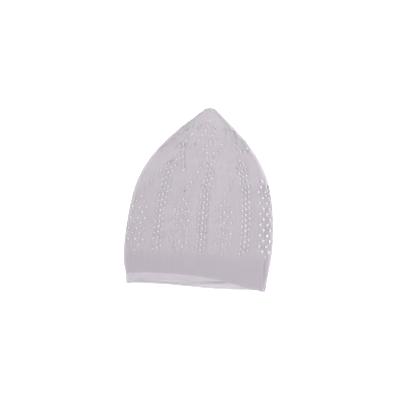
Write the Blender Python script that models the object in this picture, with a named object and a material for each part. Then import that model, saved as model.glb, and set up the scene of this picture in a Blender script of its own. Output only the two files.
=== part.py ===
"""A tall pointed openwork knitted skullcap, lying flat on its far layer.

X runs across the cap, Y from the head opening up to the tip, Z up off the surface that it lies on.
Height up the cap is counted from the corners of the rim, and a place round it is a share of the
whole way round, from the middle of the near layer toward +X. Sizes are in millimetres until a
point is placed.
"""

import math

import bmesh
import bpy
import numpy as np

for old in list(bpy.data.objects):
    bpy.data.objects.remove(old, do_unlink=True)

MM = 0.001

# The lying cap, read up its height: half of its width, how far its middle leans toward +X, and how
# high the near layer stands over the surface that the far layer lies on.
OUTLINE = (
    # up, half_width, lean, stand
    (0.0, 87.8, 0.0, 13.5),
    (10.0, 88.8, 0.0, 13.8),
    (25.0, 91.4, -0.6, 14.8),
    (51.0, 93.6, 0.2, 17.0),
    (76.0, 92.7, 1.0, 19.0),
    (102.0, 90.0, 1.4, 20.0),
    (127.0, 85.0, 1.9, 19.5),
    (152.0, 75.2, 2.7, 17.5),
    (178.0, 57.8, 3.6, 14.5),
    (201.0, 36.2, 4.2, 11.8),
    (214.0, 21.5, 4.7, 9.6),
    (224.0, 10.2, 5.4, 7.4),
    (229.0, 3.2, 6.0, 5.6),
)
FOLD_SHARE = 0.38  # the radius of a side fold, over the height there

# The near layer's rim and the top of its hem, read across the cap. The hem is wide at the left and
# curls up small a little right of the middle.
NEAR_HEM = (
    # across, rim, hem_top
    (-88.0, 1.0, 14.0),
    (-80.0, 4.2, 14.6),
    (-52.0, 5.8, 16.4),
    (-33.0, 5.4, 16.6),
    (-4.0, 6.9, 15.2),
    (22.0, 8.6, 12.9),
    (40.0, 9.4, 12.4),
    (54.0, 7.5, 12.0),
    (70.0, 3.8, 12.4),
    (87.0, 0.8, 13.8),
)
FAR_RIM = 0.6
FAR_HEM_TOP = 14.0
HEM_MIDDLE = 8.0  # the height at which a place round the hem is read as a place across the cap
SEAM_GAP = 0.3  # between the hem and the body

WALL = 2.0
HEM_WALL = 2.6
HEM_FLARE = 0.5  # how far the hem stands out of the body above the surface

# The lace: columns of eyelets, braids and lattices by turns.
PATTERNS = 14
FIRST_BRAID = 0.008  # the share of the way round at which the middle braid stands
EYELET_WIDE = 3.2
EYELET_TALL = 3.2
EYELET_ACROSS = 9.4  # from the middle eyelet of a lattice to the ones beside it
GIRTH = 386.0  # the way round at the cap's widest
EYELET_FIRST = 50.0
EYELET_STEP = 17.0
# Which eyelets each level of a lattice opens, bottom up: left, middle, right. The last ones lead off
# to the right, toward the next braid.
LATTICE_LEVELS = ("010", "101", "010", "101", "010", "001", "001")
BRAID_LEVELS = ("010", "010", "010", "010", "010", "010", "000")

# More grid lines at the two side folds, on either side of each fold's middle.
FOLD_LINES = (-4.6, -1.6, 1.6, 4.6)
CROWN_LEVELS = (178.0, 190.0, 201.0, 211.0, 218.0, 224.0, 229.0)
OUTER_TIP = 229.6
INNER_TIP = 221.0  # how far up the hollow reaches
BORDER_LEVEL = 30.0  # in the plain knitting below the lace
HEM_STEPS = 2

YARN_COLOUR = (0.62, 0.58, 0.63, 1.0)
HEM_COLOUR = (0.60, 0.56, 0.62, 1.0)


def read_smoothly(table, column, at):
    """A column of a table at the given places, on a smooth curve through its points."""
    rows = np.array(table)
    x, y = rows[:, 0], rows[:, column]
    slope = np.gradient(y, x)
    at = np.clip(at, x[0], x[-1])
    k = np.clip(np.searchsorted(x, at) - 1, 0, len(x) - 2)
    step = x[k + 1] - x[k]
    f = (at - x[k]) / step
    start = (1 + 2 * f) * (1 - f) ** 2 * y[k] + f * (1 - f) ** 2 * step * slope[k]
    end = f**2 * (3 - 2 * f) * y[k + 1] + f**2 * (f - 1) * step * slope[k + 1]
    return start + end


def on_section(up, share, flare=0.0):
    """Points of the outer face and the directions out of it, across the cap and upward.

    The section is flat below, round at the folds and gently raised above.
    """
    half = read_smoothly(OUTLINE, 1, up) + flare
    lean = read_smoothly(OUTLINE, 2, up)
    stand = read_smoothly(OUTLINE, 3, up) + flare
    fold = np.minimum(FOLD_SHARE * stand, 0.9 * half)
    flat = half - fold
    side = np.where(share > 0.5, -1.0, 1.0)
    turn = np.where(share > 0.5, 1.0 - share, share)
    way = turn * (4 * flat + 2 * math.pi * fold)
    angle = math.pi / 2 - np.clip((way - flat) / fold, 0.0, math.pi)
    above = way < flat
    below = way > flat + math.pi * fold
    raised = (stand - 2 * fold) * np.cos(np.minimum(way / flat, 1.0) * math.pi / 2) ** 2
    x = flat + fold * np.cos(angle)
    x = np.where(above, way, np.where(below, 2 * flat + math.pi * fold - way, x))
    z = fold + fold * np.sin(angle) + np.where(above, raised, 0.0)
    return side * x + lean, z, side * np.cos(angle), np.sin(angle)


def points_at(up, share, inward=0.0, flare=0.0):
    """Points of the cap in millimetres, the given distance in from its outer face."""
    up = np.broadcast_to(up, share.shape)
    x, z, out_x, out_z = on_section(up, share, flare)
    return np.stack([x - inward * out_x, up, z - inward * out_z], axis=-1)


def edge_heights(column, far_height, share):
    """How far up an edge of the hem lies round the cap, by a column of NEAR_HEM in the near layer."""
    x, z, _, _ = on_section(np.full_like(share, HEM_MIDDLE), share)
    stand = read_smoothly(OUTLINE, 3, HEM_MIDDLE)
    near = np.clip(z / (2 * FOLD_SHARE * stand), 0.0, 1.0)
    near = near * near * (3 - 2 * near)
    return far_height + near * (read_smoothly(NEAR_HEM, column, x) - far_height)


def grid_shares():
    """Where the grid's upright lines stand round the cap, and the eyelet slot right of each line.

    Three narrow slots in each pattern hold the eyelets, and are numbered 0 to 2.
    """
    lines = []
    for pattern in range(PATTERNS):
        middle = FIRST_BRAID + pattern / PATTERNS
        for slot in range(3):
            place = (slot - 1) * EYELET_ACROSS
            for edge in (-0.5, 0.5):
                share = middle + (place + edge * EYELET_WIDE) / GIRTH
                lines.append((share % 1.0, (pattern, slot) if edge < 0 else None))
    for fold in (0.25, 0.75):
        for place in FOLD_LINES:
            lines.append((fold + place / GIRTH, None))
    lines.sort(key=lambda line: line[0])
    return np.array([line[0] for line in lines]), [line[1] for line in lines]


def opened(slot, level):
    """Whether the lace has an eyelet in this slot of a pattern at this level."""
    if slot is None:
        return False
    pattern, place = slot
    levels = BRAID_LEVELS if pattern % 2 == 0 else LATTICE_LEVELS
    return levels[level][place] == "1"


def add_ring(bm, points):
    return [bm.verts.new(point * MM) for point in points]


def join_rings(bm, lower, upper, facing_out, left_out=()):
    """Faces between two rings, apart from the slots that are left out."""
    count = len(lower)
    for i in range(count):
        if i in left_out:
            continue
        j = (i + 1) % count
        corners = (lower[i], upper[i], upper[j], lower[j])
        bm.faces.new(corners if facing_out else corners[::-1])


def close_tip(bm, ring, place, facing_out):
    tip = bm.verts.new(place * MM)
    count = len(ring)
    for i in range(count):
        corners = (ring[i], tip, ring[(i + 1) % count])
        bm.faces.new(corners if facing_out else corners[::-1])


def line_eyelet(bm, slot, outer, inner):
    """The four small walls of one eyelet, through the knitting."""
    j = (slot + 1) % len(outer[0])
    around = [(0, slot), (1, slot), (1, j), (0, j)]
    for k in range(4):
        a, b = around[k], around[(k + 1) % 4]
        bm.faces.new((outer[a[0]][a[1]], inner[a[0]][a[1]], inner[b[0]][b[1]], outer[b[0]][b[1]]))


def new_material(name, colour, roughness):
    material = bpy.data.materials.new(name)
    material.use_nodes = True
    shader = material.node_tree.nodes["Principled BSDF"]
    shader.inputs["Base Color"].default_value = colour
    shader.inputs["Roughness"].default_value = roughness
    shader.inputs["Metallic"].default_value = 0.0
    return material


def new_object(name, bm, material):
    bmesh.ops.triangulate(bm, faces=bm.faces[:])
    bmesh.ops.recalc_face_normals(bm, faces=bm.faces[:])
    mesh = bpy.data.meshes.new(name)
    bm.to_mesh(mesh)
    bm.free()
    mesh.materials.append(material)
    mesh.shade_smooth()
    made = bpy.data.objects.new(name, mesh)
    bpy.context.collection.objects.link(made)
    return made


def make_crown():
    """The knitted body: an outer and an inner face, joined at the hem and through each eyelet."""
    shares, slots = grid_shares()
    seam = edge_heights(2, FAR_HEM_TOP, shares) + SEAM_GAP / 2
    levels = [seam, np.full_like(shares, BORDER_LEVEL)]
    eyelet_rows = {}
    for level in range(len(LATTICE_LEVELS)):
        middle = EYELET_FIRST + level * EYELET_STEP
        eyelet_rows[len(levels)] = level
        levels.append(np.full_like(shares, middle - EYELET_TALL / 2))
        levels.append(np.full_like(shares, middle + EYELET_TALL / 2))
    levels += [np.full_like(shares, up) for up in CROWN_LEVELS]
    inner_count = sum(up[0] < INNER_TIP for up in levels)

    bm = bmesh.new()
    outer = [add_ring(bm, points_at(up, shares)) for up in levels]
    inner = [add_ring(bm, points_at(up, shares, WALL)) for up in levels[:inner_count]]
    join_rings(bm, inner[0], outer[0], True)
    for row in range(len(levels) - 1):
        holes = []
        if row in eyelet_rows:
            holes = [i for i, slot in enumerate(slots) if opened(slot, eyelet_rows[row])]
        join_rings(bm, outer[row], outer[row + 1], True, holes)
        if row + 1 < inner_count:
            join_rings(bm, inner[row], inner[row + 1], False, holes)
        for i in holes:
            line_eyelet(bm, i, outer[row : row + 2], inner[row : row + 2])
    for rings, up, out in ((outer, OUTER_TIP, True), (inner, INNER_TIP, False)):
        lean = float(read_smoothly(OUTLINE, 2, up))
        stand = float(read_smoothly(OUTLINE, 3, up))
        close_tip(bm, rings[-1], np.array([lean, up, stand / 2]), out)
    return new_object("crown", bm, new_material("lilac_white_knit", YARN_COLOUR, 0.9))


def make_hem_band():
    """The doubled band of plain knitting, from the rim up to the seam."""
    shares, _ = grid_shares()
    rim = edge_heights(1, FAR_RIM, shares)
    seam = edge_heights(2, FAR_HEM_TOP, shares) - SEAM_GAP / 2
    levels = [rim + (seam - rim) * step / HEM_STEPS for step in range(HEM_STEPS + 1)]
    bm = bmesh.new()
    outer = [add_ring(bm, points_at(up, shares, 0.0, HEM_FLARE)) for up in levels]
    inner = [add_ring(bm, points_at(up, shares, HEM_WALL, HEM_FLARE)) for up in levels]
    join_rings(bm, inner[0], outer[0], True)
    for row in range(HEM_STEPS):
        join_rings(bm, outer[row], outer[row + 1], True)
        join_rings(bm, inner[row], inner[row + 1], False)
    join_rings(bm, outer[-1], inner[-1], True)
    return new_object("hem_band", bm, new_material("hem_knit", HEM_COLOUR, 0.9))


def stand_on_origin(pieces):
    """Moves the pieces together, so that the origin is under the middle of the whole cap."""
    corners = np.array([v.co[:] for piece in pieces for v in piece.data.vertices])
    low, high = corners.min(axis=0), corners.max(axis=0)
    shift = (-(low[0] + high[0]) / 2, -(low[1] + high[1]) / 2, -low[2])
    for piece in pieces:
        piece.location = shift


stand_on_origin([make_crown(), make_hem_band()])
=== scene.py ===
import math

import bpy
import numpy as np
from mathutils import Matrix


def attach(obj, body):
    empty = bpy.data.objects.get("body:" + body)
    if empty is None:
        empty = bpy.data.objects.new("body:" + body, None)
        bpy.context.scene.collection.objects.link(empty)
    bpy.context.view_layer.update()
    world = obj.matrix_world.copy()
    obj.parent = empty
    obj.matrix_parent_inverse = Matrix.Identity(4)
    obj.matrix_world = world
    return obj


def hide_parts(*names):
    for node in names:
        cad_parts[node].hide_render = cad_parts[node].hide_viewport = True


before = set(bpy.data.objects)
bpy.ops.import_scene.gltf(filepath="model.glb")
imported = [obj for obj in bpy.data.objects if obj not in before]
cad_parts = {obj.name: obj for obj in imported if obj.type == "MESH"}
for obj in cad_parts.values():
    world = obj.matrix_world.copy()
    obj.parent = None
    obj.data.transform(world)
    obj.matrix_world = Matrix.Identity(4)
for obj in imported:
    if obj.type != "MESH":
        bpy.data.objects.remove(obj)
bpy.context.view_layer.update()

# The photograph is taken straight down on the cap, which lies turned a little clockwise on a white,
# evenly lit table. The camera's place is read from the pixel under which the rim's middle lies.
MM = 0.001
MM_A_PIXEL = 1.27
PHOTO_SIDE = 400
RIM_MIDDLE_PIXEL = (195.6, 287.5)
CAP_TURN = math.radians(3.4)
CAP_UP_TO_ORIGIN = 115.1  # from the corners of the rim up to the middle of the cap's length
CAP_MIDDLE_HEIGHT = 8.0  # over the table, where a pixel is as wide as given above
LENS = 100.0
SENSOR = 36.0
TABLE_SIDE = 6.0
TABLE_DROP = 0.0004  # the table lies just under the lowest yarn
TABLE_LIGHT = 1.15  # the table gives off light, for a ground as white as the photograph's
STUDIO_LIGHT = 0.64

across_pixels = PHOTO_SIDE / 2 - RIM_MIDDLE_PIXEL[0]
up_pixels = RIM_MIDDLE_PIXEL[1] - PHOTO_SIDE / 2
look_x = MM_A_PIXEL * (across_pixels * math.cos(CAP_TURN) - up_pixels * math.sin(CAP_TURN))
look_y = MM_A_PIXEL * (across_pixels * math.sin(CAP_TURN) + up_pixels * math.cos(CAP_TURN))
camera_height = PHOTO_SIDE * MM_A_PIXEL * LENS / SENSOR

bpy.ops.object.select_all(action="DESELECT")
bpy.ops.object.camera_add(
    location=(
        look_x * MM,
        (look_y - CAP_UP_TO_ORIGIN) * MM,
        (camera_height + CAP_MIDDLE_HEIGHT) * MM,
    ),
    rotation=(0.0, 0.0, CAP_TURN),
)
camera = bpy.context.object
camera.name = "camera"
camera.data.lens = LENS
camera.data.sensor_width = SENSOR
camera.data.clip_start = 0.01
bpy.context.scene.camera = camera

bpy.ops.mesh.primitive_plane_add(size=TABLE_SIDE, location=(0.0, 0.0, -TABLE_DROP))
floor = bpy.context.object
floor.name = "floor"
bpy.ops.object.transform_apply(location=True)
floor_finish = bpy.data.materials.new("white_table")
floor_finish.use_nodes = True
shader = floor_finish.node_tree.nodes["Principled BSDF"]
shader.inputs["Base Color"].default_value = (0.9, 0.9, 0.91, 1.0)
shader.inputs["Roughness"].default_value = 0.7
shader.inputs["Emission Color"].default_value = (1.0, 1.0, 1.0, 1.0)
shader.inputs["Emission Strength"].default_value = TABLE_LIGHT
floor.data.materials.append(floor_finish)


def add_softbox(name, place, side, power):
    """A square lamp that looks at the middle of the cap."""
    bpy.ops.object.select_all(action="DESELECT")
    reach = math.hypot(place[0], place[1])
    bpy.ops.object.light_add(
        type="AREA",
        location=place,
        rotation=(math.atan2(reach, place[2]), 0.0, math.atan2(place[0], -place[1])),
    )
    lamp = bpy.context.object
    lamp.name = name
    lamp.data.shape = "SQUARE"
    lamp.data.size = side
    lamp.data.energy = power


add_softbox("softbox_right", (0.7, 0.5, 0.9), 0.7, 7.4)
add_softbox("softbox_left", (-0.8, -0.1, 1.0), 0.8, 3.2)

world = bpy.data.worlds.new("studio")
world.use_nodes = True
world.node_tree.nodes["Background"].inputs["Color"].default_value = (1.0, 1.0, 1.0, 1.0)
world.node_tree.nodes["Background"].inputs["Strength"].default_value = STUDIO_LIGHT
bpy.context.scene.world = world
bpy.context.scene.view_settings.view_transform = "Standard"

# The body of the cap is one tube of openwork knitting in soft white yarn. It is worked round and
# round from the hem to the tip, and lies flat, folded at its two sides. Each stitch is a loop of
# yarn that comes up through the loop below it.
OUTLINE = (
    # height, half the width, how far the middle leans right, how thick it lies
    (0.0, 87.8, 0.0, 13.5),
    (10.0, 88.8, 0.0, 13.8),
    (25.0, 91.4, -0.6, 14.8),
    (51.0, 93.6, 0.2, 17.0),
    (76.0, 92.7, 1.0, 19.0),
    (102.0, 90.0, 1.4, 20.0),
    (127.0, 85.0, 1.9, 19.5),
    (152.0, 75.2, 2.7, 17.5),
    (178.0, 57.8, 3.6, 14.5),
    (201.0, 36.2, 4.2, 11.8),
    (214.0, 21.5, 4.7, 9.6),
    (224.0, 10.2, 5.4, 7.4),
    (229.0, 3.2, 6.0, 5.6),
)
FOLD_SHARE = 0.38  # the radius of the two folds, over the thickness
FOLD_MOST = 0.9  # and over half the width, where the cap is narrow
NEAR_HEM = (
    # across, then heights: the rim, the hem's top, and the body's end over the hem, which
    # comes lower than the hem's top at the right, where the hem is rolled under the body
    (-88.0, 0.0, 14.0, 14.0),
    (-80.0, 4.7, 14.6, 14.6),
    (-52.0, 6.7, 16.4, 16.4),
    (-33.0, 6.3, 16.6, 16.6),
    (-4.0, 7.2, 15.2, 15.2),
    (22.0, 8.6, 12.9, 12.9),
    (40.0, 9.4, 12.4, 10.9),
    (54.0, 7.5, 12.0, 8.4),
    (70.0, 3.8, 12.4, 4.7),
    (87.0, 0.8, 13.8, 2.7),
)
FAR_HEM = (
    # the same in the far layer, whose rim sags a little right of the middle
    (-88.0, -0.7, 14.0, 14.0),
    (-72.0, 0.2, 14.0, 14.0),
    (-30.0, 0.5, 14.0, 14.0),
    (0.0, -0.7, 14.0, 14.0),
    (28.0, -1.5, 14.0, 14.0),
    (54.0, -0.8, 14.0, 13.0),
    (70.0, 0.2, 14.0, 8.0),
    (87.0, 0.6, 14.0, 2.7),
)
HEM_MIDDLE = 8.0  # the height at which the hem's way round is read


def read_smoothly(table, column, at):
    """A column of a table at the given places, on a smooth curve through its points."""
    rows = np.array(table)
    x, y = rows[:, 0], rows[:, column]
    slope = np.gradient(y, x)
    at = np.clip(at, x[0], x[-1])
    k = np.clip(np.searchsorted(x, at) - 1, 0, len(x) - 2)
    step = x[k + 1] - x[k]
    f = (at - x[k]) / step
    start = (1 + 2 * f) * (1 - f) ** 2 * y[k] + f * (1 - f) ** 2 * step * slope[k]
    end = f**2 * (3 - 2 * f) * y[k + 1] + f**2 * (f - 1) * step * slope[k + 1]
    return start + end


def girth_at(up):
    """The way round the cap at a height."""
    half = read_smoothly(OUTLINE, 1, up)
    fold = np.minimum(FOLD_SHARE * read_smoothly(OUTLINE, 3, up), FOLD_MOST * half)
    return 4 * (half - fold) + 2 * math.pi * fold


def on_section(up, share, flare=0.0):
    """Points of the cap's outer face and the directions out of it, across the cap and upward."""
    half = read_smoothly(OUTLINE, 1, up) + flare
    lean = read_smoothly(OUTLINE, 2, up)
    stand = read_smoothly(OUTLINE, 3, up) + flare
    fold = np.minimum(FOLD_SHARE * stand, FOLD_MOST * half)
    flat = half - fold
    share = share % 1.0
    side = np.where(share > 0.5, -1.0, 1.0)
    turn = np.where(share > 0.5, 1.0 - share, share)
    way = turn * (4 * flat + 2 * math.pi * fold)
    angle = math.pi / 2 - np.clip((way - flat) / fold, 0.0, math.pi)
    above = way < flat
    below = way > flat + math.pi * fold
    raised = (stand - 2 * fold) * np.cos(np.minimum(way / flat, 1.0) * math.pi / 2) ** 2
    x = flat + fold * np.cos(angle)
    x = np.where(above, way, np.where(below, 2 * flat + math.pi * fold - way, x))
    z = fold + fold * np.sin(angle) + np.where(above, raised, 0.0)
    return side * x + lean, z, side * np.cos(angle), np.sin(angle)


def edge_heights(column, share):
    """How far up an edge of the hem lies round the cap, by a column of its two tables."""
    x, z, _, _ = on_section(np.full_like(share, HEM_MIDDLE), share)
    stand = read_smoothly(OUTLINE, 3, HEM_MIDDLE)
    near = np.clip(z / (2 * FOLD_SHARE * stand), 0.0, 1.0)
    near = near * near * (3 - 2 * near)
    far_height = read_smoothly(FAR_HEM, column, x)
    return far_height + near * (read_smoothly(NEAR_HEM, column, x) - far_height)


# Where the formula's middle lies in the frame.
HEIGHTS_READ = 500
heights = np.linspace(0.0, OUTLINE[-1][0], HEIGHTS_READ)
right_edge = read_smoothly(OUTLINE, 2, heights) + read_smoothly(OUTLINE, 1, heights)
left_edge = read_smoothly(OUTLINE, 2, heights) - read_smoothly(OUTLINE, 1, heights)
FORM_PLACE = np.array([-(right_edge.max() + left_edge.min()) / 2, -CAP_UP_TO_ORIGIN, 0.0])

PATTERNS = 14  # pattern columns round the cap, braids and lattices by turns
FIRST_BRAID = 0.008  # the share of the way round at which the middle braid stands
WALES = 9  # stitches across one pattern column
COURSE = 2.29  # the height of a course of the body
WALES_WHOLE_UP_TO = 115.0  # above it stitches are lost at the right of each column
LOST_OVER = 3  # how many stitches share the narrowing there
YARN = 0.85  # the yarn's radius
FAR_YARN = 0.42  # in the far layer's lace, so that light comes through as in the photograph
FAR_EDGE = 0.4  # the far layer begins where the cloth faces upward less than this
LACE_FROM = 37.0  # the height from which the far yarn is thinner
LACE_BLEND = 7.0
FOLD_THINNER = 0.2  # how much thinner it is again just under the right fold
FOLD_THINNEST = 0.27  # the share of the way round at which it is thinnest
LOOP_REACH = 0.95  # half the height of a loop, over the height of a course
LOOP_BULGE = 0.19  # how far a loop's sides bulge, over its width
LOOP_DEPTH = 0.5  # how far its yarn runs in and out of the cloth
CLOTH_MIDDLE = 1.25  # how far in from the outer face the yarn's middle runs
POINTS_A_LOOP = 8
YARN_SIDES = 5
PLIES = 2  # wound round each other in the yarn
PLIES_A_STITCH = 4  # how many plies pass along the yarn in one stitch
STITCHES_A_STRIP = 32  # a course is laid out in strips on the yarn's map, one above another
STRIPS_A_COURSE = 4
STRIPS = 72  # the strips that the map has room for
# the export bakes on a map of this name, if it has no overlaps
YARN_MAP = "OFBake"  # the yarn's own map, laid out in strips without overlaps
BORDER_TOP = 40.0  # the courses run level above it
BORDER_COURSES = 11
PAINTED_BORDER_SHADE_BLEND = 9.0  # the border's painted shade runs out over twice this height
EYELET_RADIUS = 1.58  # in the near layer
FAR_EYELET = 0.6  # the far layer's eyelets, over the near layer's
FAR_SHARES = (0.27, 0.3)  # the shares of the way round between which the far layer begins
EYELET_WIDE = 1.15  # how far the cloth gives way at an eyelet's sides, over its radius
EYELET_TALL = 0.8  # and above and below it
EYELET_REACH = 3  # how far round it the cloth gives way at all, over those two
EYELET_ROWS = 3  # courses from one row of eyelets to the next
EYELET_WALES = 1.5  # stitches from one eyelet to the next
BRAID_ROWS = 17
BRAID_STARTS = 3  # courses over the border
BRAID_LEAN = 0.4  # stitches to the right, a row, in the upper end of the middle braid
BRAID_LEAN_FROM = 11  # the row from which it leans
BRAID_ENDS = (
    # pattern column, height and stitches to the right: loose eyelets above two of the braids
    (0, 164.5, 1.5),
    (0, 171.0, 0.0),
    (0, 171.0, 2.5),
    (0, 186.0, 3.0),
    (2, 166.0, 0.0),
    (2, 175.0, 2.0),
)
RIGHT_FOLD = 0.235  # the share of the way round at which the lace is stretched widest
RIGHT_FOLD_WIDE = 0.05
RIGHT_FOLD_WIDER = 0.4  # how much wider the eyelets are there
RIGHT_FOLD_PATTERN = 3  # the lattice at the right fold, which runs higher than the others
LATTICE_REPEATS = 4
RIGHT_FOLD_REPEATS = 6
LINE_STEP = 6.3  # the height between the eyelets of a single line
DRIFT_FROM = 120.0  # such a line drifts to the right above each lattice
DRIFT_EYELETS = 8
DRIFT_LEAN = 45.0  # the height in which it crosses one pattern column
CROWN_FROM = 172.0  # and one leans to the right above each pattern column, round the tip
CROWN_EYELETS = 6
CROWN_LEAN = 25.0
CROWN_MIDDLE = 181.0  # where it stands over its own column
LADDER_EYELET = 1.25  # the eyelets of the short ladder, over the others
LADDER_EYELETS = 7
LADDER_STEP = 5.3
LADDER_HEIGHTS = (148.0, 164.0, 180.0)
LADDER_LEAN = (-0.24, -0.49, -0.87)  # at those heights, in pattern columns
LEFT_FULLNESS = 0.8  # how far the loops stand out of the body's form at its two folds
RIGHT_FULLNESS = 1.8
TIP_FROM = 224.6  # the last courses are drawn in above it
TIP_RISE = 4.1
TIP_LEFT = 0.12  # how open the drawn-in end stays
TIP_CURVE = 1.3  # how fast it draws in
TIP_MIDDLE = 0.42  # how high up in the cap's thickness it ends
STRAY = 0.025  # chance: how far a loop strays sideways, over its width
REACH_CHANGE = 0.04  # how much its height differs
LIFT = 0.03  # how far it strays upward, over a course
DEPTH_CHANGE = 0.05  # how far it strays in the cloth
YARN_CHANGE = 0.05  # how much the yarn's radius differs
COLUMN_CHANGE = 0.22  # the columns lose a stitch sooner or later by this share of one

chance = np.random.default_rng(11)
column_starts = chance.uniform(-COLUMN_CHANGE, COLUMN_CHANGE, PATTERNS)
crown_starts = chance.integers(0, 3, PATTERNS)


def phases_of(loop_points):
    """How far round its loop each of its points lies, from foot to foot."""
    return (np.arange(loop_points) + 0.5) / loop_points * 2 * math.pi - math.pi


def stitches_at(up):
    """The middle of each stitch of a course and its width, as shares of the way round."""
    girth = girth_at(up)
    column = girth / PATTERNS
    whole = girth_at(min(up, WALES_WHOLE_UP_TO)) / PATTERNS / WALES
    middles, widths = [], []
    for pattern in range(PATTERNS):
        count = max(1, int(column / whole + 0.5 + column_starts[pattern]))
        last = min(LOST_OVER, count)
        wide = np.full(count, whole)
        wide[count - last :] = (column - whole * (count - last)) / last
        begin = FIRST_BRAID + (pattern - 0.5) / PATTERNS
        middles.append(begin + (np.cumsum(wide) - wide / 2) / girth)
        widths.append(wide / girth)
    return np.concatenate(middles), np.concatenate(widths)


def uneven(count, size, loop_points=POINTS_A_LOOP):
    """A small chance value at each point of a course, smooth from stitch to stitch."""
    values = chance.normal(0.0, size, count)
    places = np.arange(count * loop_points) / loop_points
    return np.interp(places, np.arange(count + 1), np.append(values, values[0]))


def loops_round(shares, widths, loop_points=POINTS_A_LOOP):
    """The share of each point of a course's yarn, and how far up its loop it lies."""
    count = len(shares)
    phases = phases_of(loop_points)
    swing = phases / (2 * math.pi) + LOOP_BULGE * np.sin(2 * phases)
    share = (shares[:, None] + widths[:, None] * swing[None, :]).ravel()
    share = share + uneven(count, STRAY, loop_points) * np.repeat(widths, loop_points)
    reach = LOOP_REACH * np.tile(np.cos(phases), count)
    reach = reach * (1 + uneven(count, REACH_CHANGE, loop_points))
    return share, reach + uneven(count, LIFT, loop_points)


def stretched(share, middle=RIGHT_FOLD):
    """How much the lace is stretched near the right fold, from 0 to 1."""
    return np.exp(-((((share - middle + 0.5) % 1.0 - 0.5) / RIGHT_FOLD_WIDE) ** 2))


def row_at(height):
    """How many courses of the body lie below a height."""
    return (height - BORDER_TOP) / COURSE


def chart_eyelets(levels):
    """The (share, height, radius) of each eyelet, on a gap between the stitches near it."""
    found = []

    def add(pattern_place, wale, row, opened=1.0):
        """Opens the gap nearest to a pattern column, so many stitches right of it, in a row."""
        row = int(round(row))
        if not 0 <= row < len(levels) - 1:
            return
        up = levels[row] + COURSE / 2
        whole = girth_at(min(up, WALES_WHOLE_UP_TO)) / PATTERNS / WALES
        share = FIRST_BRAID + pattern_place / PATTERNS + wale * whole / girth_at(up)
        middles, widths = stitches_at(levels[row])
        gaps = np.concatenate([middles, middles + widths / 2])
        nearest = np.abs((gaps - share + 0.5) % 1.0 - 0.5).argmin()
        turn = abs((gaps[nearest] + 0.5) % 1.0 - 0.5)
        radius = opened * EYELET_RADIUS * (1 + RIGHT_FOLD_WIDER * stretched(gaps[nearest]))
        radius = radius * np.interp(turn, FAR_SHARES, (1.0, FAR_EYELET))
        found.append((gaps[nearest] % 1.0, up, radius))

    for pattern in range(PATTERNS):
        if pattern % 2 == 0:
            for row in range(BRAID_ROWS):
                lean = BRAID_LEAN * max(0, row - BRAID_LEAN_FROM) if pattern == 0 else 0.0
                middle_row = BRAID_STARTS + EYELET_ROWS * row
                for step in (-1, 0, 1):
                    add(pattern, EYELET_WALES * step + lean, middle_row + step)
        else:
            repeats = RIGHT_FOLD_REPEATS if pattern == RIGHT_FOLD_PATTERN else LATTICE_REPEATS
            one = (0,)
            two = (-EYELET_WALES, EYELET_WALES)
            three = (-2 * EYELET_WALES, 0, 2 * EYELET_WALES)
            for row, wales in enumerate((one, two) + (three, two) * repeats + (one,)):
                for wale in wales:
                    add(pattern, wale, 1 + EYELET_ROWS * row)
            for eyelet in range(DRIFT_EYELETS):
                height = DRIFT_FROM + LINE_STEP * eyelet
                add(pattern + (height - DRIFT_FROM) / DRIFT_LEAN, 0, row_at(height))
        for eyelet in range(CROWN_EYELETS):
            height = CROWN_FROM + LINE_STEP * eyelet
            row = row_at(height) + crown_starts[pattern] - 1
            add(pattern + (height - CROWN_MIDDLE) / CROWN_LEAN, 0, row)
    # One column left of the middle, the eyelets run in a short ladder that leans to the left.
    for eyelet in range(LADDER_EYELETS):
        height = LADDER_HEIGHTS[0] + LADDER_STEP * eyelet
        lean = np.interp(height, LADDER_HEIGHTS, LADDER_LEAN)
        add(PATTERNS - 1 + lean, 0, row_at(height), LADDER_EYELET)
    for pattern, height, wale in BRAID_ENDS:
        add(pattern, wale, row_at(height))
    return np.array(found)


def open_eyelets(share, up, girth, eyelets):
    """Moves points of the yarn off the middle of each eyelet, along the cloth."""
    side, rise = np.zeros_like(up), np.zeros_like(up)
    for eye_share, eye_up, radius in eyelets:
        wide, tall = EYELET_WIDE * radius, EYELET_TALL * radius
        x = ((share - eye_share + 0.5) % 1.0 - 0.5) * girth
        near = (np.abs(up - eye_up) < EYELET_REACH * tall) & (np.abs(x) < EYELET_REACH * wide)
        across, along = x[near], up[near] - eye_up
        push = radius * np.exp(-((across / wide) ** 2) - (along / tall) ** 2)
        push = push / np.maximum(np.hypot(across, along), 1e-6)
        side[near] += push * across
        rise[near] += push * along
    return share + side / girth, up + rise


SLACK = 0.5  # the most that the cloth gives inward
SLACK_WAVES = (
    # waves round the cap, the height of one, where it begins, and its weight
    (5, 61.0, 0.4, 0.2),
    (11, -37.0, 2.1, 0.16),
    (23, 19.0, 4.4, 0.14),
)


def slack(share, up):
    """How far the cloth gives inward here and there, in long, uneven waves."""
    ripple = 0.5
    for waves, height, begin, weight in SLACK_WAVES:
        ripple = ripple + weight * np.sin(2 * math.pi * (waves * share + up / height) + begin)
    return SLACK * ripple


# A soft crease runs up from the rim, close to the right fold.
CREASE = ((-2.0, 42.5), (87.1, 84.5))  # heights, and places across the cap
CREASE_WIDE = 1.7
CREASE_DEEP = 1.5
CREASE_TOP = 46.0
CREASE_FADE = 14.0  # over how much of its height it runs out
CREASE_FACING = 0.2  # it lies only in cloth that faces upward at least as much as this
SLACK_AT_TIP = 0.2  # the cloth gives less and less toward the tip, down to this share


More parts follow.
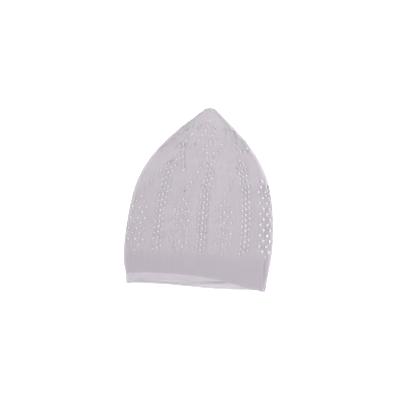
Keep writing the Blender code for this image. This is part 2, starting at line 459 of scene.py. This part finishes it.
def in_cloth(share, path, depth):
    """Points the given depth into the cloth, and the directions out of it.

    The path up the cap follows its height as far as the tip, and there it turns in to the middle.
    """
    up = np.minimum(path, TIP_FROM)
    x, z, out_x, out_z = on_section(up, share)
    crease_x = np.interp(up, CREASE[0], CREASE[1])
    groove = CREASE_DEEP * np.exp(-(((x - crease_x) / CREASE_WIDE) ** 2))
    groove = groove * (out_z > CREASE_FACING) * np.clip((CREASE_TOP - up) / CREASE_FADE, 0.0, 1.0)
    level = 1 - np.abs(out_x)
    loose = np.clip(1 + SLACK_AT_TIP - up / TIP_FROM, SLACK_AT_TIP, 1.0)
    inward = depth + groove + slack(share, up) * level * loose
    inward = inward - np.where(out_x > 0, RIGHT_FULLNESS, LEFT_FULLNESS) * (1 - level)
    x, z = x - inward * out_x, z - inward * out_z
    turned = np.clip((path - TIP_FROM) / TIP_RISE, 0.0, math.pi / 2)
    drawn = np.maximum(np.maximum(np.cos(turned), 0.0) ** TIP_CURVE, TIP_LEFT)
    lean = read_smoothly(OUTLINE, 2, up)
    middle = TIP_MIDDLE * read_smoothly(OUTLINE, 3, up)
    points = np.stack(
        [
            lean + (x - lean) * drawn,
            up + TIP_RISE * np.sin(turned),
            middle + (z - middle) * drawn,
        ],
        axis=-1,
    )
    across = np.cos(turned)
    return points, np.stack([out_x * across, np.sin(turned), out_z * across], axis=-1)


def tube_mesh(name, courses, loop_points):
    """One mesh of closed loops of yarn. Each course has its points, the ways out and the radii."""
    places, faces, uvs = [], [], []
    first = 0
    turns = (np.arange(YARN_SIDES) + 0.5) / YARN_SIDES * 2 * math.pi
    for row, (points, outward, radii) in enumerate(courses):
        count = len(points)
        along = np.roll(points, -1, axis=0) - np.roll(points, 1, axis=0)
        along /= np.linalg.norm(along, axis=1, keepdims=True)
        side = np.cross(along, outward)
        side /= np.linalg.norm(side, axis=1, keepdims=True)
        over = np.cross(side, along)
        ring = side[:, None, :] * np.cos(turns)[None, :, None]
        ring = ring + over[:, None, :] * np.sin(turns)[None, :, None]
        places.append((points[:, None, :] + radii[:, None, None] * ring).reshape(-1, 3))
        i = np.arange(count)[:, None]
        k = np.arange(YARN_SIDES)[None, :]
        j, m = (i + 1) % count, (k + 1) % YARN_SIDES
        corners = (i * YARN_SIDES + k, i * YARN_SIDES + m, j * YARN_SIDES + m, j * YARN_SIDES + k)
        faces.append(first + np.stack(corners, axis=-1).reshape(-1, 4))
        in_strip = STITCHES_A_STRIP * loop_points
        a, b = i % in_strip, row * STRIPS_A_COURSE + i // in_strip + k / YARN_SIDES
        along_yarn = np.stack(np.broadcast_arrays(a, a, a + 1, a + 1, b)[:4], axis=-1)
        b_next = b + 1 / YARN_SIDES
        round_yarn = np.stack(np.broadcast_arrays(b, b_next, b_next, b, a)[:4], axis=-1)
        uv = np.stack([along_yarn / in_strip, round_yarn / STRIPS], axis=-1)
        uvs.append(uv.reshape(-1, 2))
        first += count * YARN_SIDES
    places, faces, uvs = np.concatenate(places), np.concatenate(faces), np.concatenate(uvs)
    mesh = bpy.data.meshes.new(name)
    mesh.vertices.add(len(places))
    mesh.vertices.foreach_set("co", ((places + FORM_PLACE) * MM).ravel())
    mesh.loops.add(faces.size)
    mesh.loops.foreach_set("vertex_index", faces.ravel())
    mesh.polygons.add(len(faces))
    mesh.polygons.foreach_set("loop_start", np.arange(len(faces)) * 4)
    mesh.uv_layers.new(name=YARN_MAP).data.foreach_set("uv", uvs.ravel())
    mesh.update(calc_edges=True)
    mesh.shade_smooth()
    piece = bpy.data.objects.new(name, mesh)
    bpy.context.collection.objects.link(piece)
    return piece


CLOUD_SHADE = 0.88  # the darker of the body's two shades, over its colour
PAINTED_PLY_SHADE = 0.6  # painted shade in the grooves between the plies, over the yarn's colour
PAINTED_PLY_SHADE_SHARE = 0.16  # how much of that painted shade is mixed in, at most


def yarn_finish(name, colour, border_painted_shade_colour, softness, twist_depth):
    """Matte spun yarn that lets light through: two plies wind round it, under fine fibres."""
    finish = bpy.data.materials.new(name)
    finish.use_nodes = True
    nodes, links = finish.node_tree.nodes, finish.node_tree.links
    shader = nodes["Principled BSDF"]
    shader.inputs["Roughness"].default_value = 0.9
    shader.inputs["Specular IOR Level"].default_value = 0.15
    shader.inputs["Sheen Weight"].default_value = 0.25
    shader.inputs["Sheen Roughness"].default_value = 0.6
    shader.inputs["Subsurface Weight"].default_value = softness
    shader.inputs["Subsurface Radius"].default_value = (1.0, 0.96, 1.0)
    shader.inputs["Subsurface Scale"].default_value = 0.002

    yarn_map = nodes.new("ShaderNodeUVMap")
    yarn_map.uv_map = YARN_MAP
    apart = nodes.new("ShaderNodeSeparateXYZ")
    links.new(yarn_map.outputs["UV"], apart.inputs["Vector"])
    along = nodes.new("ShaderNodeMath")
    along.operation = "MULTIPLY"
    along.inputs[1].default_value = STITCHES_A_STRIP * PLIES_A_STITCH * 2 * math.pi
    links.new(apart.outputs["X"], along.inputs[0])
    twist = nodes.new("ShaderNodeMath")
    twist.operation = "MULTIPLY_ADD"
    twist.inputs[1].default_value = STRIPS * PLIES * 2 * math.pi
    links.new(apart.outputs["Y"], twist.inputs[0])
    links.new(along.outputs["Value"], twist.inputs[2])
    plies = nodes.new("ShaderNodeMath")
    plies.operation = "SINE"
    links.new(twist.outputs["Value"], plies.inputs[0])
    place = nodes.new("ShaderNodeTexCoord")
    fibres = nodes.new("ShaderNodeTexNoise")
    fibres.inputs["Scale"].default_value = 2600.0
    fibres.inputs["Detail"].default_value = 3.0
    links.new(place.outputs["Object"], fibres.inputs["Vector"])
    fine = nodes.new("ShaderNodeBump")
    fine.inputs["Strength"].default_value = 0.5
    fine.inputs["Distance"].default_value = 0.0002
    links.new(fibres.outputs["Fac"], fine.inputs["Height"])
    wound = nodes.new("ShaderNodeBump")
    wound.inputs["Strength"].default_value = 0.6
    wound.inputs["Distance"].default_value = twist_depth
    links.new(plies.outputs["Value"], wound.inputs["Height"])
    links.new(fine.outputs["Normal"], wound.inputs["Normal"])
    links.new(wound.outputs["Normal"], shader.inputs["Normal"])

    # The border is painted darker, for the shade of its dense cloth, through which no light comes.
    # The tone drifts along the cloth, and painted shade darkens the grooves between the plies.
    where = nodes.new("ShaderNodeSeparateXYZ")
    links.new(place.outputs["Object"], where.inputs["Vector"])
    painted_border_shade_mask = nodes.new("ShaderNodeMapRange")
    painted_border_shade_mask.interpolation_type = "SMOOTHSTEP"
    painted_border_shade_mask.inputs["From Min"].default_value = (BORDER_TOP - CAP_UP_TO_ORIGIN - PAINTED_BORDER_SHADE_BLEND) * MM
    painted_border_shade_mask.inputs["From Max"].default_value = (BORDER_TOP - CAP_UP_TO_ORIGIN + PAINTED_BORDER_SHADE_BLEND) * MM
    links.new(where.outputs["Y"], painted_border_shade_mask.inputs["Value"])
    base = nodes.new("ShaderNodeMix")
    base.data_type = "RGBA"
    base.inputs[6].default_value = (*border_painted_shade_colour, 1.0)
    base.inputs[7].default_value = (*colour, 1.0)
    links.new(painted_border_shade_mask.outputs["Result"], base.inputs[0])
    cloudy = nodes.new("ShaderNodeTexNoise")
    cloudy.inputs["Scale"].default_value = 70.0
    cloudy.inputs["Detail"].default_value = 4.0
    links.new(place.outputs["Object"], cloudy.inputs["Vector"])
    drift = nodes.new("ShaderNodeMix")
    drift.data_type = "RGBA"
    drift.inputs[7].default_value = (*(CLOUD_SHADE * value for value in colour), 1.0)
    links.new(cloudy.outputs["Fac"], drift.inputs[0])
    links.new(base.outputs[2], drift.inputs[6])
    # Painted shade: the yarn's colour is darkened in the grooves between the plies.
    painted_ply_shade_amount = nodes.new("ShaderNodeMapRange")
    painted_ply_shade_amount.inputs["From Min"].default_value = -1.0
    painted_ply_shade_amount.inputs["To Min"].default_value = PAINTED_PLY_SHADE_SHARE
    painted_ply_shade_amount.inputs["To Max"].default_value = 0.0
    links.new(plies.outputs["Value"], painted_ply_shade_amount.inputs["Value"])
    shade = nodes.new("ShaderNodeMix")
    shade.data_type = "RGBA"
    shade.inputs[7].default_value = (*(PAINTED_PLY_SHADE * value for value in colour), 1.0)
    links.new(painted_ply_shade_amount.outputs["Result"], shade.inputs[0])
    links.new(drift.outputs[2], shade.inputs[6])
    links.new(shade.outputs[2], shader.inputs["Base Color"])
    return finish


def add_knit(name, courses, loop_points, finish, node):
    """A run of courses as one piece that stands for a solid."""
    piece = tube_mesh(name, courses, loop_points)
    piece.data.materials.append(finish)
    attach(piece, "root")
    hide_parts(node)


tip_path = TIP_FROM + TIP_RISE * math.pi / 2
levels = BORDER_TOP + COURSE * np.arange(int((tip_path - BORDER_TOP) / COURSE) + 1)
eyelets = chart_eyelets(levels)

knit = []
for row in range(BORDER_COURSES):
    shares, widths = stitches_at(BORDER_TOP)
    share, reach = loops_round(shares, widths)
    seam = edge_heights(3, share % 1.0)
    height = (BORDER_TOP - seam) / BORDER_COURSES
    knit.append((share, seam + height * (row + reach)))
for level in levels:
    shares, widths = stitches_at(min(level, TIP_FROM))
    share, reach = loops_round(shares, widths)
    knit.append((share, level + COURSE * reach))

splits = np.cumsum([len(share) for share, _ in knit])[:-1]
all_share = np.concatenate([share for share, _ in knit])
all_path = np.concatenate([path for _, path in knit])
all_share, all_path = open_eyelets(all_share, all_path, girth_at(all_path), eyelets)
stitch_count = len(all_path) // POINTS_A_LOOP
depth = CLOTH_MIDDLE + LOOP_DEPTH * np.tile(np.cos(2 * phases_of(POINTS_A_LOOP)), stitch_count)
depth = depth + uneven(stitch_count, DEPTH_CHANGE)
points, outward = in_cloth(all_share, all_path, depth)
far_lace = np.clip(FAR_EDGE - outward[:, 2], 0.0, 1.0)
far_lace = far_lace * np.clip((all_path - LACE_FROM) / LACE_BLEND, 0.0, 1.0)
radii = (YARN + (FAR_YARN - YARN) * far_lace) * (1 + uneven(stitch_count, YARN_CHANGE))
radii = radii * (1 - FOLD_THINNER * stretched(all_share, FOLD_THINNEST) * far_lace)
rows = list(zip(np.split(points, splits), np.split(outward, splits), np.split(radii, splits)))

BODY_COLOUR = (0.755, 0.682, 0.757)
# painted shade: the border's yarn gets a darker copy of the body's colour, for the shade of its
# dense cloth
BORDER_PAINTED_SHADE_COLOUR = (0.65, 0.582, 0.678)
crown_finish = yarn_finish("soft_white_yarn", BODY_COLOUR, BORDER_PAINTED_SHADE_COLOUR, 0.8, 0.00012)
CROWN_PIECES = 6
# The courses go to the pieces by turns, since whole bands of courses showed pale seams where one
# piece met the next.
for turn in range(CROWN_PIECES):
    name = f"crown_knit_{turn + 1}"
    courses = rows[turn::CROWN_PIECES]
    add_knit(name, courses, POINTS_A_LOOP, crown_finish, "crown")

# The hem is the cap's first courses, turned in on themselves round the opening, so that it is two
# cloths thick. It is knitted of the same yarn, drawn a little tighter, and is fixed along its top.
HEM_STITCHES = 104
HEM_OUTER_COURSES = 6
HEM_INNER_COURSES = 6
HEM_COURSE = 2.05  # the height of a course, before it is stretched or pressed to fit the hem
HEM_TIGHTEST = 1.3  # the least height of a course outside
HEM_FEWEST = 0.3  # the least number of courses that stay outside
HEM_ABOVE = 1.2  # how many courses over its top the first loops may reach
HEM_INNER_HEIGHT = 0.95  # how far up the inner cloth comes, over the outer
HEM_OPENING = 1.13  # the radius of the far layer's small openings on each side of the rim
NEAR_HEM_OPENING = 0.3  # in the near layer they are nearly closed
HEM_OPENING_ROWS = (0.3, 1.15, 2.0, 2.85)  # how many courses their rows lie from the rim
HEM_TOP_LOOP = 1.2  # how far its first course lies below its top, to make room for the loops
HEM_YARN = 0.68
FAR_HEM_YARN = 0.58
FAR_RIM_THINNER = 0.08  # how much thinner the yarn is along the far rim
HEM_POINTS_A_LOOP = 10
HEM_LOOP_DEPTH = 0.3
HEM_RIB = 0.22  # how far the middle of each column of stitches stands out
HEM_OUTER = 0.65  # how deep the outer cloth's middle lies, and below it the inner cloth's
HEM_INNER = 1.9
HEM_FLARE = 0.5  # how far the hem stands out of the body
HEM_FLARE_OVER = 0.6  # in how many courses it comes out
HEM_ROLLED_IN = 1.9  # how far it lies behind the body where it is rolled under
HEM_ROLLED_FROM = 1.8  # how far below the hem's top the body ends where that is fully so

hem_round = (HEM_INNER - HEM_OUTER) / 2


def in_hem(share, course, depth):
    """Points along the turned hem, from its top, down and round the rim, and up inside."""
    rim = edge_heights(1, share % 1.0) + hem_round + HEM_YARN
    top = edge_heights(2, share % 1.0) - HEM_TOP_LOOP
    body_end = edge_heights(3, share % 1.0) - HEM_TOP_LOOP
    rolled = np.clip((top - body_end) / HEM_ROLLED_FROM, 0.0, 1.0)
    # Where there is little room outside, the hem turns in sooner, and more of it lies inside.
    rim_course = np.clip((top - rim) / HEM_TIGHTEST, HEM_FEWEST, HEM_OUTER_COURSES)
    outside = np.clip(course, -HEM_ABOVE, rim_course) / rim_course
    turned = np.clip(course - rim_course, 0.0, 1.0) * math.pi
    inner_courses = HEM_OUTER_COURSES + HEM_INNER_COURSES - rim_course
    inside = np.maximum(course - rim_course - 1, 0.0) / inner_courses
    up = np.where(turned > 0.0, rim - hem_round * np.sin(turned), top + (rim - top) * outside)
    up = up + (top - rim) * inside * HEM_INNER_HEIGHT
    inward = HEM_OUTER + hem_round * (1 - np.cos(turned)) + depth * np.cos(turned)
    up = up + depth * np.sin(turned)
    inward = inward + HEM_ROLLED_IN * rolled
    flare = HEM_FLARE * np.clip(course / HEM_FLARE_OVER, 0.0, 1.0) * (1 - rolled)
    x, z, out_x, out_z = on_section(up, share, flare)
    points = np.stack([x - inward * out_x, up, z - inward * out_z], axis=-1)
    across = np.cos(turned)
    return points, np.stack([out_x * across, -np.sin(turned), out_z * across], axis=-1)


shares = (np.arange(HEM_STITCHES) + 0.5) / HEM_STITCHES
widths = np.full(HEM_STITCHES, 1 / HEM_STITCHES)
hem_girth = girth_at(HEM_MIDDLE)
hem_openings = []
for row, from_rim in enumerate(HEM_OPENING_ROWS):
    for course in (HEM_OUTER_COURSES - from_rim, HEM_OUTER_COURSES + 1 + from_rim):
        for share in shares + widths / 2 * (row % 2):
            hem_openings.append((share % 1.0, course * HEM_COURSE))
hem_openings = np.array(hem_openings)
middle_height = np.full(len(hem_openings), HEM_MIDDLE)
opening_far = np.clip(FAR_EDGE - on_section(middle_height, hem_openings[:, 0])[3], 0.0, 1.0)
opening_radii = NEAR_HEM_OPENING + (HEM_OPENING - NEAR_HEM_OPENING) * opening_far
hem_openings = np.column_stack([hem_openings, opening_radii])

hem_courses = []
for row in range(HEM_OUTER_COURSES + 1 + HEM_INNER_COURSES):
    share, reach = loops_round(shares, widths, HEM_POINTS_A_LOOP)
    down = HEM_COURSE * (row + 0.5 - reach)
    share, down = open_eyelets(share, down, hem_girth, hem_openings)
    course = down / HEM_COURSE
    depth = HEM_LOOP_DEPTH * np.tile(np.cos(2 * phases_of(HEM_POINTS_A_LOOP)), len(shares))
    depth = depth + HEM_RIB * np.cos(2 * math.pi * HEM_STITCHES * share)
    points, outward = in_hem(share, course, depth)
    _, _, _, out_z = on_section(np.full_like(share, HEM_MIDDLE), share)
    far = np.clip(FAR_EDGE - out_z, 0.0, 1.0)
    radii = HEM_YARN + (FAR_HEM_YARN - HEM_YARN) * far
    radii = radii - FAR_RIM_THINNER * far * np.exp(-((course - HEM_OUTER_COURSES - 0.5) ** 2))
    radii = radii * (1 + uneven(len(shares), YARN_CHANGE, HEM_POINTS_A_LOOP))
    hem_courses.append((points, outward, radii))

# Painted light: the hem's yarn gets a lighter copy of the body's colour, for the light that the hem
# catches.
HEM_PAINTED_LIGHT_COLOUR = (0.82, 0.77, 0.83)
hem_finish = yarn_finish("hem_yarn_painted_light", HEM_PAINTED_LIGHT_COLOUR, HEM_PAINTED_LIGHT_COLOUR, 0.2, 0.0001)
add_knit("hem_knit", hem_courses, HEM_POINTS_A_LOOP, hem_finish, "hem_band")
